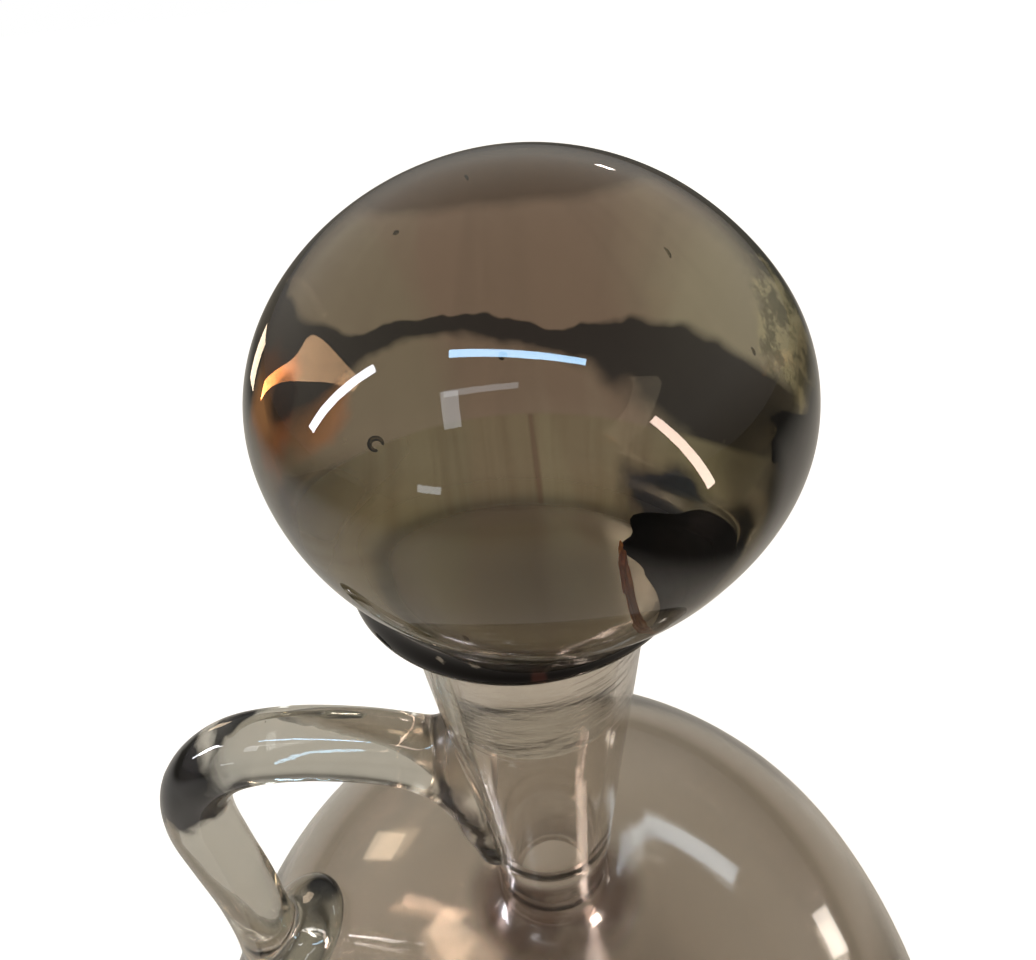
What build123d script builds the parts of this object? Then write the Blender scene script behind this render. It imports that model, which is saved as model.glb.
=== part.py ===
from build123d import *
import math
import os

# A hand-blown globe flask with a ground, conical neck, an applied rod handle
# and an oversized solid ball stopper.  Millimetres, +Z up.  The origin is on the
# neck's axis in the plane the flask stands on, and the handle is on the -X side.

# ---- driving dimensions: globe ----
GLOBE_R = 86.0            # widest radius
GLOBE_RISE = 73.0         # half height of the round bulb, before its base is flattened
GLOBE_FLATTENING = 5.5    # how much of the round bottom the flat foot takes away
GLOBE_WALL = 2.4
FOOT_THICKNESS = 5.0      # glass under the inside of the globe
PUNT_R = 24.0             # pushed-in dimple under the foot: rim radius and depth
PUNT_DEPTH = 9.0
FOOT_ROUNDING = 1.2

# ---- driving dimensions: neck ----
SHOULDER_R = 24.0         # where the neck's flare leaves the round of the globe
FLARE_RISE = 6.8          # height of that flare
NECK_LENGTH = 81.2        # from the flare to the lip
NECK_FOOT_R = 9.8
NECK_MOUTH_R = 16.9
NECK_WALL = 2.6
LIP_ROUNDING = 1.1
SEAM_LENGTH = 16.6        # thicker band where neck and globe were joined
SEAM_BULGE_OUT = 0.6
SEAM_BULGE_IN = 1.0

# ---- driving dimensions: handle ----
ROD_R = 5.8
ROD_LEAVES_BELOW_LIP = 48.7     # height on the neck where the rod's centre line starts
ROD_TURN = (20.5, 37.4)         # (distance from the axis, drop below the lip) of the upper turn
ROD_CORNER = (58.7, 30.1)       # the same for the outer corner
ROD_KNEE = (58.9, 71.2)         # the same for the slight bend in the lower arm
ROD_FOOT_R = 60.5               # distance from the axis where the rod meets the globe
ROD_RADII = (14.0, 14.5, 60.0)  # bend radii of the centre line at those three turns
UPPER_PAD_HALF = 19.0           # half length and half width of the gather on the neck
UPPER_PAD_HALF_WIDTH = 7.8
UPPER_PAD_BELOW_LIP = 49.0
LOWER_PAD_R = 13.5              # spread and thickness of the gather on the globe
LOWER_PAD_THICKNESS = 5.5
LOWER_PAD_SHIFT = 3.0           # the lower gather sits this much nearer the neck than the rod

# ---- driving dimensions: stopper ----
PLUG_LENGTH = 25.5
PLUG_ROUNDING = 1.4
COLLAR_R = 21.8
COLLAR_HEIGHT = 5.3
COLLAR_ROUNDING = 1.5
BALL_R = 30.0
BALL_UPPER = 25.6         # pole heights above and below the widest circle
BALL_LOWER = 27.3
BALL_SQUARENESS = 1.93    # 2 is a true ellipse, less is slightly lozenge shaped
BALL_SINK = 9.6           # how much of the ball's lower pole is lost in the collar
BALL_OFFSET = 2.7         # the ball was stuck on a little off the axis ...
BALL_LEAN = 4.0           # ... and leans by this many degrees
BALL_STEPS = 8            # spans of the spline that draws a quarter of its outline

# ---- clearances ----
PLUG_CLEARANCE = 0.06     # between the ground plug and the ground socket, on the radius
LIP_GAP = 0.3             # between the lip and the collar when the stopper is seated

# ---- worked out from the sizes above ----
GLOBE_CENTRE = GLOBE_RISE - GLOBE_FLATTENING


def globe_height(radius):
    """Height of the globe's upper half at a distance from the axis."""
    return GLOBE_CENTRE + GLOBE_RISE * math.sqrt(1 - (radius / GLOBE_R) ** 2)


NECK_FOOT = globe_height(SHOULDER_R) + FLARE_RISE
LIP = NECK_FOOT + NECK_LENGTH
NECK_SLOPE = (NECK_MOUTH_R - NECK_FOOT_R) / NECK_LENGTH
NECK_ANGLE = math.degrees(math.atan(NECK_SLOPE))
SEAM_TOP = NECK_FOOT + SEAM_LENGTH
COLLAR_UNDERSIDE = LIP + LIP_GAP
COLLAR_TOP = COLLAR_UNDERSIDE + COLLAR_HEIGHT
BALL_CENTRE = COLLAR_TOP + BALL_LOWER - BALL_SINK


def neck_radius(height):
    """Outer radius of the conical neck at a height."""
    return NECK_FOOT_R + NECK_SLOPE * (height - NECK_FOOT)


def bore_radius(height):
    """Inner radius of the conical neck at a height."""
    return neck_radius(height) - NECK_WALL


def turned(*edges):
    """Revolve a closed outline in the XZ plane about the Z axis."""
    return revolve(make_face(Curve() + list(edges)), Axis.Z)


def bulb(half_width, half_height, bottom, neck_r, shoulder_r):
    """Solid bulb with a flat bottom and a flare that runs up into the neck."""
    low = math.asin((bottom - GLOBE_CENTRE) / half_height)
    high = math.acos(shoulder_r / half_width)
    foot_r = half_width * math.cos(low)
    shoulder = (shoulder_r, 0, GLOBE_CENTRE + half_height * math.sin(high))
    neck_foot = (neck_r, 0, NECK_FOOT)
    ellipse_run = Vector(half_width * math.sin(high), 0, -half_height * math.cos(high))
    neck_run = Vector(NECK_SLOPE, 0, 1)
    side = Plane.XZ * EllipticalCenterArc(
        (0, GLOBE_CENTRE), half_width, half_height, math.degrees(low), arc_size=math.degrees(high - low)
    )
    flare = Spline(shoulder, neck_foot, tangents=(ellipse_run * -1, neck_run))
    return turned(
        Line((0, 0, bottom), (foot_r, 0, bottom)),
        side,
        flare,
        Line(neck_foot, (0, 0, NECK_FOOT)),
        Line((0, 0, NECK_FOOT), (0, 0, bottom)),
    )


def globe_form():
    """The globe as if it were solid."""
    return bulb(GLOBE_R, GLOBE_RISE, 0, NECK_FOOT_R, SHOULDER_R)


def punt_ball(extra):
    """The ball that presses the dimple into the foot, grown by some thickness."""
    radius = (PUNT_R**2 + PUNT_DEPTH**2) / (2 * PUNT_DEPTH)
    return Pos(0, 0, PUNT_DEPTH - radius) * Sphere(radius + extra)


def globe():
    inside = bulb(
        GLOBE_R - GLOBE_WALL, GLOBE_RISE - GLOBE_WALL, FOOT_THICKNESS,
        NECK_FOOT_R - NECK_WALL, SHOULDER_R - GLOBE_WALL,
    )
    shell = globe_form() - (inside - punt_ball(FOOT_THICKNESS)) - punt_ball(0)
    foot_edges = shell.edges().filter_by(GeomType.CIRCLE).group_by(Axis.Z)[0]
    return fillet(foot_edges, FOOT_ROUNDING)


def neck_seam():
    middle = (NECK_FOOT + SEAM_TOP) / 2
    return turned(
        Line((NECK_FOOT_R - NECK_WALL, 0, NECK_FOOT), (NECK_FOOT_R, 0, NECK_FOOT)),
        ThreePointArc(
            (NECK_FOOT_R, 0, NECK_FOOT),
            (neck_radius(middle) + SEAM_BULGE_OUT, 0, middle),
            (neck_radius(SEAM_TOP), 0, SEAM_TOP),
        ),
        Line((neck_radius(SEAM_TOP), 0, SEAM_TOP), (bore_radius(SEAM_TOP), 0, SEAM_TOP)),
        ThreePointArc(
            (bore_radius(SEAM_TOP), 0, SEAM_TOP),
            (bore_radius(middle) - SEAM_BULGE_IN, 0, middle),
            (NECK_FOOT_R - NECK_WALL, 0, NECK_FOOT),
        ),
    )


def cone(low, high, low_r, high_r):
    """Solid cone on the Z axis between two heights."""
    height = high - low
    return Pos(0, 0, low) * Cone(low_r, high_r, height, align=(Align.CENTER, Align.CENTER, Align.MIN))


def neck():
    tube = cone(SEAM_TOP, LIP, neck_radius(SEAM_TOP), NECK_MOUTH_R)
    tube -= cone(SEAM_TOP, LIP, bore_radius(SEAM_TOP), bore_radius(LIP))
    lip_edges = tube.edges().filter_by(GeomType.CIRCLE).group_by(Axis.Z)[-1]
    return fillet(lip_edges, LIP_ROUNDING)


def ellipse_ball(half_width, half_height):
    """Solid of revolution of an ellipse about the Z axis."""
    arc = Plane.XZ * EllipticalCenterArc((0, 0), half_width, half_height, -90, arc_size=180)
    return turned(arc, Line((0, 0, half_height), (0, 0, -half_height)))


def upper_pad_form():
    height = LIP - UPPER_PAD_BELOW_LIP
    lean = Rot(0, -NECK_ANGLE, 0)
    return Pos(-neck_radius(height), 0, height) * lean * ellipse_ball(UPPER_PAD_HALF_WIDTH, UPPER_PAD_HALF)


def upper_handle_pad():
    low = LIP - UPPER_PAD_BELOW_LIP - UPPER_PAD_HALF
    return upper_pad_form() - cone(low, LIP, neck_radius(low), NECK_MOUTH_R) - neck_seam()


def lower_pad_form():
    """The ball whose cap outside the globe is the lower gather."""
    radius = ROD_FOOT_R - LOWER_PAD_SHIFT
    slope = math.atan(radius / GLOBE_R**2 * GLOBE_RISE**2 / (globe_height(radius) - GLOBE_CENTRE))
    ball_r = (LOWER_PAD_R**2 + LOWER_PAD_THICKNESS**2) / (2 * LOWER_PAD_THICKNESS)
    depth = ball_r - LOWER_PAD_THICKNESS
    centre = (depth * math.sin(slope) - radius, 0, globe_height(radius) - depth * math.cos(slope))
    return Pos(*centre) * Sphere(ball_r)


def lower_handle_pad():
    return lower_pad_form() - globe_form()


def handle_rod():
    start = (-bore_radius(LIP - ROD_LEAVES_BELOW_LIP), 0, LIP - ROD_LEAVES_BELOW_LIP)
    turns = [(-distance, 0, LIP - drop) for distance, drop in (ROD_TURN, ROD_CORNER, ROD_KNEE)]
    foot = (-ROD_FOOT_R, 0, globe_height(ROD_FOOT_R) - LOWER_PAD_THICKNESS)
    route = FilletPolyline(start, *turns, foot, radius=list(ROD_RADII))
    section = Plane(origin=route @ 0, z_dir=route % 0) * Circle(ROD_R)
    rod = sweep(section, path=route)
    rod -= cone(NECK_FOOT, LIP, NECK_FOOT_R, NECK_MOUTH_R)
    return rod - upper_pad_form() - lower_pad_form()


def plug():
    low = LIP - PLUG_LENGTH
    low_r = bore_radius(low) - PLUG_CLEARANCE
    high_r = bore_radius(COLLAR_UNDERSIDE) - PLUG_CLEARANCE
    peg = cone(low, COLLAR_UNDERSIDE, low_r, high_r)
    return fillet(peg.edges().filter_by(GeomType.CIRCLE).group_by(Axis.Z)[0], PLUG_ROUNDING)


def collar():
    disc = Pos(0, 0, (COLLAR_UNDERSIDE + COLLAR_TOP) / 2) * Cylinder(COLLAR_R, COLLAR_HEIGHT)
    return fillet(disc.edges().filter_by(GeomType.CIRCLE).group_by(Axis.Z)[0], COLLAR_ROUNDING)


def ball_outline():
    """Points of a quarter of the ball's profile, as fractions of its two half sizes."""
    angles = [math.pi / 2 * i / BALL_STEPS for i in range(BALL_STEPS + 1)]
    power = 2 / BALL_SQUARENESS
    return [(math.cos(a) ** power, math.sin(a) ** power) for a in angles]


def ball():
    quarter = ball_outline()
    upper = [(BALL_R * x, 0, BALL_UPPER * z) for x, z in quarter]
    lower = [(BALL_R * x, 0, -BALL_LOWER * z) for x, z in quarter]
    upper[-1] = (0, 0, BALL_UPPER)
    lower[-1] = (0, 0, -BALL_LOWER)
    knob = turned(
        Spline(*upper, tangents=((0, 0, 1), (-1, 0, 0))),
        Line(upper[-1], lower[-1]),
        Spline(*reversed(lower), tangents=((1, 0, 0), (0, 0, 1))),
    )
    knob = Pos(BALL_OFFSET, 0, BALL_CENTRE) * Rot(0, BALL_LEAN, 0) * knob
    return split(knob, Plane.XY.offset(COLLAR_TOP), keep=Keep.TOP)


PARTS = {
    "globe": globe,
    "neck_seam": neck_seam,
    "neck": neck,
    "handle_rod": handle_rod,
    "upper_handle_pad": upper_handle_pad,
    "lower_handle_pad": lower_handle_pad,
    "stopper_plug": plug,
    "stopper_collar": collar,
    "stopper_ball": ball,
}

os.makedirs("parts", exist_ok=True)
for name, make in PARTS.items():
    part = make()
    export_step(part, f"parts/{name}.step")
    print(f"{name}: {part.volume / 1000:.1f} ml, {len(part.solids())} solid")
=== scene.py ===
# %% [markdown]
# A hand-blown globe flask with a rod handle and a smoky ball stopper. Everything
# here is glass, so the lesson is about glass: what shape it has to be before it
# bends light like the real thing, how it is tinted, and what has to stand around
# it to be seen in it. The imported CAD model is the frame: it says where things are,
# and the pieces made here stand in for its plain solids.

# %% Load the frame
import math

import bmesh
import bpy
import numpy as np
from mathutils import Matrix, Vector


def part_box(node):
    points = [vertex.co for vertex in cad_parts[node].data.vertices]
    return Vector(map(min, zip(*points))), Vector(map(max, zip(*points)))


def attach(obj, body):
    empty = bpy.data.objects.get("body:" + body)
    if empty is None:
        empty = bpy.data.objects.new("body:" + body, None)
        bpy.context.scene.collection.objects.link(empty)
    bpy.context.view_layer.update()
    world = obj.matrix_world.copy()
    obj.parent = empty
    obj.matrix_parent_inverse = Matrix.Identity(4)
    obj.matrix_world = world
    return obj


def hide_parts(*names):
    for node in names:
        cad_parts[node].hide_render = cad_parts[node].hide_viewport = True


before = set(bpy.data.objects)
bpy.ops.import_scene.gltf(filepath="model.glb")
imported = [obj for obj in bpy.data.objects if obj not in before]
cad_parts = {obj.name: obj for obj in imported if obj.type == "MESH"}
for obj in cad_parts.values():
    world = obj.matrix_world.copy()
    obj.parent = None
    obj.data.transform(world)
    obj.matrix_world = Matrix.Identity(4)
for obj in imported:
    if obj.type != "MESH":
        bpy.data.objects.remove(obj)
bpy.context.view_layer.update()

MM = 0.001
GLOBE, SEAM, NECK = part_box("globe"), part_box("neck_seam"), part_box("neck")
PLUG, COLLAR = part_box("stopper_plug"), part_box("stopper_collar")
LIP = NECK[1].z
NECK_FOOT = GLOBE[1].z

# %% [markdown]
# The camera comes first, because every later decision is judged through it. It is
# a wide lens like a phone's, a hand's breadth in front of the stopper and above it,
# looking down, so the ball is large and the globe falls away below. Its place is
# given from the neck's axis and the lip, and its turn as three plain angles.

# %% Camera
CAMERA_IN_FRONT = 70.1 * MM
CAMERA_ABOVE_LIP = 62.7 * MM
CAMERA_TURN, CAMERA_DOWN, CAMERA_ROLL = 0.4, 35.8, -5.6
CAMERA_LENS = 25.05


def look(turn, down, roll):
    """Camera axes as the columns of a matrix, from degrees right, down and rolled."""
    turn, down, roll = (math.radians(a) for a in (turn, down, roll))
    ahead = Vector((math.sin(turn) * math.cos(down), math.cos(turn) * math.cos(down), -math.sin(down)))
    right = Vector((math.cos(turn), -math.sin(turn), 0))
    up = right.cross(ahead)
    rolled_right = right * math.cos(roll) + up * math.sin(roll)
    rolled_up = up * math.cos(roll) - right * math.sin(roll)
    return Matrix((rolled_right, rolled_up, -ahead)).transposed()


camera_data = bpy.data.cameras.new("camera")
camera_data.lens, camera_data.sensor_width = CAMERA_LENS, 36
camera_data.clip_start, camera_data.clip_end = 0.005, 60
camera = bpy.data.objects.new("camera", camera_data)
bpy.context.scene.collection.objects.link(camera)
place = Vector((0, -CAMERA_IN_FRONT, LIP + CAMERA_ABOVE_LIP))
camera.matrix_world = Matrix.Translation(place) @ look(CAMERA_TURN, CAMERA_DOWN, CAMERA_ROLL).to_4x4()
bpy.context.scene.camera = camera
print("camera at", tuple(camera.location))

# %% [markdown]
# Glass shows its mesh far more than wood or steel does: light crosses it four or
# more times, and each crossing bends with the surface's slope. So the shapes are
# built as dense, even grids of rings, with no boolean cuts through what is seen.
# One function turns a grid of points into a closed skin.

# %% Grids of rings into closed skins
def ring_angles(count):
    return np.arange(count) * 2 * math.pi / count


def skin(name, grid, poles=None):
    """Closed mesh from rings grid[row, column]; poles are the points that close its two ends."""
    rows, columns = grid.shape[:2]
    points = [tuple(p) for p in grid.reshape(-1, 3)]
    faces = []
    for row in range(rows - 1):
        for column in range(columns):
            beside = (column + 1) % columns
            faces.append((row * columns + column, row * columns + beside,
                          (row + 1) * columns + beside, (row + 1) * columns + column))
    first, last = len(points), len(points) + 1
    points += [tuple(poles[0]), tuple(poles[1])]
    for column in range(columns):
        beside = (column + 1) % columns
        faces.append((first, beside, column))
        faces.append((last, (rows - 1) * columns + column, (rows - 1) * columns + beside))
    mesh = bpy.data.meshes.new(name)
    mesh.from_pydata(points, [], faces)
    mesh.polygons.foreach_set("use_smooth", [True] * len(mesh.polygons))
    mesh.update()
    return mesh


def add(name, mesh):
    """Object for a mesh, in the scene."""
    thing = bpy.data.objects.new(name, mesh)
    bpy.context.scene.collection.objects.link(thing)
    return thing


def outward(mesh):
    """Turn every face of a closed mesh outwards."""
    work = bmesh.new()
    work.from_mesh(mesh)
    bmesh.ops.recalc_face_normals(work, faces=work.faces)
    work.to_mesh(mesh)
    work.free()


def even(points, step):
    """Points spaced evenly along a polyline, its ends kept."""
    points = np.array(points, float)
    runs = np.linalg.norm(np.diff(points, axis=0), axis=1)
    along = np.concatenate(([0], np.cumsum(runs)))
    count = max(2, int(round(along[-1] / step)) + 1)
    wanted = np.linspace(0, along[-1], count)
    return np.stack([np.interp(wanted, along, points[:, k]) for k in range(points.shape[1])], -1)


# %% [markdown]
# No blown surface is exact. A few slow sine waves, each across its own direction,
# push the skin in and out by a fraction of a millimetre. That is too little to see
# in the outline and plenty to make a reflection waver, which is how the eye tells
# blown glass from moulded plastic.

# %% Hand-made waver
def waver(points, size, wavelength, seed):
    """Smooth random height for each point, at most about `size`, from six sine waves."""
    chance = np.random.default_rng(seed)
    total = np.zeros(points.shape[:-1])
    for _ in range(6):
        direction = chance.normal(size=3)
        direction /= np.linalg.norm(direction)
        wave = 2 * math.pi / (wavelength * chance.uniform(0.75, 1.4))
        total += np.sin(points @ direction * wave + chance.uniform(0, 2 * math.pi))
    return total * size / 3


# %% [markdown]
# The ball and the short dark flange under it are one piece of glass, so they are one
# skin: light inside glass meets nothing where two gathers were fused, and two solids
# stuck together would show a mirror there. The ball was put on slightly off the axis
# and leans, so its rings are laid out in its own tilted frame down to the plane where
# it meets the flange, and the corner there is then rounded as melting rounds it. The
# ground plug is a piece of its own under the flange, a hair's breadth apart, and that
# gap is what makes the foot of the ball mirror its own back wall.

# %% Ball with flange, and plug
COLUMNS = 256
RING_STEP = 0.45 * MM
BALL_R, BALL_UPPER, BALL_LOWER = 30.0 * MM, 25.6 * MM, 27.3 * MM
BALL_SQUARENESS = 1.93
BALL_LEAN = math.radians(4)
BALL_OFFSET = 2.7 * MM
BALL_SINK = 9.6 * MM
BALL_CENTRE = COLLAR[1].z + BALL_LOWER - BALL_SINK
PLUG_TOP, PLUG_END_R = PLUG[1].z - 0.05 * MM, 11.9 * MM
ball_centre = np.array((BALL_OFFSET, 0, BALL_CENTRE))
lean = np.array(Matrix.Rotation(BALL_LEAN, 3, "Y"))


def ball_point(down, around):
    """Point of the ball's skin at an angle down from its top and an angle around it."""
    power = 2 / BALL_SQUARENESS
    wide, high = np.sin(down), np.cos(down)
    out = BALL_R * np.abs(wide) ** power
    height = np.where(high > 0, BALL_UPPER, BALL_LOWER) * np.sign(high) * np.abs(high) ** power
    local = np.stack([out * np.cos(around), out * np.sin(around), height], -1)
    return local @ lean.T + ball_centre


def ball_rings(rows):
    """Rings from near the top of the ball to the level plane where the flange begins."""
    around = ring_angles(COLUMNS)
    low, high = np.full(COLUMNS, math.pi / 2), np.full(COLUMNS, math.pi)
    for _ in range(40):
        middle = (low + high) / 2
        above = ball_point(middle, around)[:, 2] > COLLAR[1].z
        low, high = np.where(above, middle, low), np.where(above, high, middle)
    share = np.linspace(0, 1, rows + 1)[1:, None]
    return ball_point(share * low[None, :], np.broadcast_to(around, (rows, COLUMNS)))


def level_rings(profile):
    """Rings about the neck's axis from (radius, height) pairs."""
    around = ring_angles(COLUMNS)
    return np.stack([
        np.outer(profile[:, 0], np.cos(around)),
        np.outer(profile[:, 0], np.sin(around)),
        np.repeat(profile[:, 1][:, None], COLUMNS, 1),
    ], -1)


def corner(centre, radius, start, stop, steps=8):
    """Quarter-round points about a centre, from one angle in degrees to another."""
    angles = np.radians(np.linspace(start, stop, steps))
    return [(centre[0] + radius * math.cos(a), centre[1] + radius * math.sin(a)) for a in angles]


def flange_profile():
    """The flange below the ball, from its top edge to the middle of its underside."""
    flange_r, edge, under = COLLAR[1].y, 0.6 * MM, 1.9 * MM
    outline = corner((flange_r - edge, COLLAR[1].z - edge), edge, 80, 0, 4)
    outline += corner((flange_r - under, COLLAR[0].z + under), under, -5, -88)
    return np.array(outline + [(0.2 * MM, COLLAR[0].z)])


def plug_profile():
    """The ground plug, from the middle of its top, down its taper and in again below."""
    bevel, end_round = 0.4 * MM, 1.4 * MM
    outline = [(0.2 * MM, PLUG_TOP)]
    outline += corner((PLUG[1].y - bevel, PLUG_TOP - bevel), bevel, 85, 5, 4)
    outline += corner((PLUG_END_R - end_round, PLUG[0].z + end_round), end_round, -5, -88)
    return np.array(outline + [(0.2 * MM, PLUG[0].z)])


def melt_corner(grid, row, reach, rounds):
    """Round a corner that runs along one row by averaging the rows near it."""
    share = np.clip(1 - np.abs(np.arange(len(grid)) - row) / reach, 0, 1)[1:-1, None, None]
    for _ in range(rounds):
        middle = (grid[:-2] + grid[2:]) / 2
        grid[1:-1] += (middle - grid[1:-1]) * share * 0.8
    return grid


ball_part = ball_rings(150)
below = level_rings(even(flange_profile(), RING_STEP))
outwards = (ball_part - ball_centre) / np.linalg.norm(ball_part - ball_centre, axis=-1)[..., None]
still_at_foot = np.clip((ball_part[..., 2:] - COLLAR[1].z) / (6 * MM), 0, 1)
ball_part += outwards * waver(ball_part, 0.20 * MM, 20 * MM, 3)[..., None] * still_at_foot
stopper_grid = melt_corner(np.concatenate([ball_part, below]), len(ball_part), 7, 40)
stopper_poles = (ball_point(np.array(0.0), np.array(0.0)), (0, 0, COLLAR[0].z))
stopper_mesh = skin("ball_stopper", stopper_grid, stopper_poles)
plug_grid = level_rings(even(plug_profile(), RING_STEP))
plug_mesh = skin("ground_plug", plug_grid, ((0, 0, PLUG_TOP), (0, 0, PLUG[0].z)))
outward(plug_mesh)
ground_plug = add("ground_plug", plug_mesh)
print("ball skin", len(stopper_mesh.vertices), "points, plug skin", len(plug_mesh.vertices))

# %% [markdown]
# Molten glass traps air, and a glassblower calls the small bubbles seeds. A seed
# is a hole, so it is a little closed skin inside the ball whose faces look into
# the air, as part of the same mesh. Two are curls, one of them long, drawn out as
# the ball was turned, and the others are short stretched specks.

# %% Seeds in the ball
def tube_along(points, radii, sides=10):
    """Rings of a closed tube along points, with its two end points."""
    points, radii = np.array(points, float), np.array(radii, float)
    runs = np.gradient(points, axis=0)
    runs /= np.linalg.norm(runs, axis=1)[:, None]
    side = np.cross(runs, (0.3, 0.2, 1.0))
    side /= np.linalg.norm(side, axis=1)[:, None]
    other = np.cross(runs, side)
    around = ring_angles(sides)
    grid = (points[:, None] + radii[:, None, None]
            * (side[:, None] * np.cos(around)[:, None] + other[:, None] * np.sin(around)[:, None]))
    return grid, (points[0] - runs[0] * radii[0], points[-1] + runs[-1] * radii[-1])


SEEDS = [
    # place from the ball's centre (right, back, up), length, thickness, all in mm
    ((-12.6, -20.5, 8.5), 2.6, 0.22),
    ((-2.5, -21.0, 15.2), 0.9, 0.22),
    ((-10.5, -8.0, 20.0), 0.35, 0.30),
    ((-5.5, -4.0, 22.5), 1.0, 0.14),
    ((9.5, -12.0, 17.5), 1.1, 0.16),
    ((-9.0, -22.5, -9.5), 0.8, 0.22),
    ((16.0, -14.0, 9.0), 0.7, 0.16),
]
seed_parts = []
for number, (spot, length, thickness) in enumerate(SEEDS):
    sweep = 1.5 * math.pi if number < 2 else 0.6
    turn = np.linspace(0, sweep, 14)
    curl = length / sweep * MM
    middle = ball_centre + np.array(spot) * MM
    line = middle + curl * np.stack([np.cos(turn), 0.3 * np.sin(turn * 0.7), 0.9 * np.sin(turn)], -1)
    fat = thickness * MM * (0.35 + 0.65 * np.sin(np.linspace(0.15, math.pi - 0.15, 14)) ** 0.7)
    grid, ends = tube_along(line, fat)
    seed_parts.append(skin(f"seed_{number}", grid, ends))


def join_into(mesh, extras, inside_out):
    """Add other closed meshes to one mesh; inside_out makes them holes."""
    outward(mesh)
    work = bmesh.new()
    work.from_mesh(mesh)
    for extra in extras:
        outward(extra)
        if inside_out:
            extra.flip_normals()
        work.from_mesh(extra)
    work.to_mesh(mesh)
    work.free()
    mesh.polygons.foreach_set("use_smooth", [True] * len(mesh.polygons))


join_into(stopper_mesh, seed_parts, inside_out=True)
ball_stopper = add("ball_stopper", stopper_mesh)
print("seeds", len(seed_parts))

# %% [markdown]
# A smear of dark glass is shut in the foot of the ball, on the right, with a fleck
# of amber beside it. Painting them on the skin would not do, because light comes at
# that corner from many sides, mirrored in the walls. They are small ragged lumps
# inside, and the ball enlarges them as a lens does.

# %% Smear and fleck shut in the ball
def lump(name, centre, sizes, ragged, wavelength, seed):
    """Small ellipsoid with a ragged skin; centre and half sizes in mm."""
    work = bmesh.new()
    bmesh.ops.create_icosphere(work, subdivisions=5, radius=1)
    mesh = bpy.data.meshes.new(name)
    work.to_mesh(mesh)
    work.free()
    points = np.array([v.co for v in mesh.vertices])
    swell = 1 + waver(points, ragged, wavelength, seed)
    swell += waver(points, ragged / 2, wavelength / 3, seed + 1)
    points = points * swell[:, None] * np.array(sizes) * MM + np.array(centre) * MM
    mesh.vertices.foreach_set("co", points.ravel())
    mesh.polygons.foreach_set("use_smooth", [True] * len(mesh.polygons))
    mesh.update()
    return add(name, mesh)


dark_smear = lump("dark_smear", (15.2, 8.0, 229.9), (5.2, 2.2, 2.2), 0.42, 1.7, 21)
amber_fleck = lump("amber_fleck", (8.8, 7.0, 230.2), (0.34, 0.4, 0.9), 0.35, 1.0, 22)
print("smear", [round(v / MM, 1) for v in dark_smear.dimensions], "mm")

# %% [markdown]
# The flask is one skin as well: it runs from the middle of the dimple under the
# foot, out and up the globe, up the neck, over the lip and down the inside. The
# wall is what matters, because two faces of glass 2.4 mm apart bend light only a
# little, while the thicker band where the neck was joined on bends it enough to
# show as dark rings. The inside wavers on its own, so the wall's thickness varies.

# %% Flask skin
GLOBE_R, GLOBE_RISE = GLOBE[1].y, 73.0 * MM
GLOBE_CENTRE = 67.5 * MM
GLOBE_WALL, NECK_WALL, FOOT_THICK = 2.4 * MM, 2.6 * MM, 5.0 * MM
PUNT_R, PUNT_DEPTH = 24.0 * MM, 9.0 * MM
SHOULDER_R = 24.0 * MM
NECK_FOOT_R, NECK_MOUTH_R = 9.8 * MM, 16.9 * MM
NECK_SLOPE = (NECK_MOUTH_R - NECK_FOOT_R) / (LIP - NECK_FOOT)


def neck_radius(height):
    return NECK_FOOT_R + NECK_SLOPE * (height - NECK_FOOT)


def ellipse_run(half_width, half_height, low, high, steps=90):
    """Side of the bulb from one height above its centre to where it reaches a radius."""
    start, stop = math.asin(low / half_height), math.acos(high / half_width)
    angles = np.linspace(start, stop, steps)
    return [(half_width * math.cos(a), GLOBE_CENTRE + half_height * math.sin(a)) for a in angles]


def hermite(start, start_run, end, end_run, steps=24):
    """Curve between two points that leaves and arrives along two directions."""
    start, start_run, end, end_run = (np.array(v) for v in (start, start_run, end, end_run))
    curve = []
    for t in np.linspace(0, 1, steps)[1:-1]:
        a, b = 2 * t**3 - 3 * t**2 + 1, t**3 - 2 * t**2 + t
        c, d = -2 * t**3 + 3 * t**2, t**3 - t**2
        curve.append(tuple(a * start + b * start_run + c * end + d * end_run))
    return curve


def flare(half_width, half_height, shoulder_r, foot_r):
    """The concave sweep from the bulb's shoulder up to the foot of the neck."""
    share = shoulder_r / half_width
    rise = math.sqrt(1 - share**2)
    shoulder = (shoulder_r, GLOBE_CENTRE + half_height * rise)
    along_bulb = np.array((-half_width * rise, half_height * share))
    reach = shoulder_r - foot_r
    along_bulb *= 1.6 * reach / np.linalg.norm(along_bulb)
    along_neck = np.array((NECK_SLOPE, 1)) * 0.8 * reach
    return hermite(shoulder, along_bulb, (foot_r, NECK_FOOT), along_neck)


def dome(extra, rim):
    """The pushed-in dimple, grown by some thickness, from the axis out to a radius."""
    radius = (PUNT_R**2 + PUNT_DEPTH**2) / (2 * PUNT_DEPTH)
    centre, radius = PUNT_DEPTH - radius, radius + extra
    angles = np.linspace(math.radians(0.4), math.asin(rim / radius), 24)
    return [(radius * math.sin(a), centre + radius * math.cos(a)) for a in angles]


def bump(height, middle, half, size):
    """Smooth rise of some size around a height."""
    share = (height - middle) / half
    return size * math.cos(share * math.pi / 2) ** 2 if abs(share) < 1 else 0.0


SEAM_LOW, SEAM_HIGH = SEAM[0].z + 2 * MM, SEAM[1].z - 1 * MM


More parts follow.
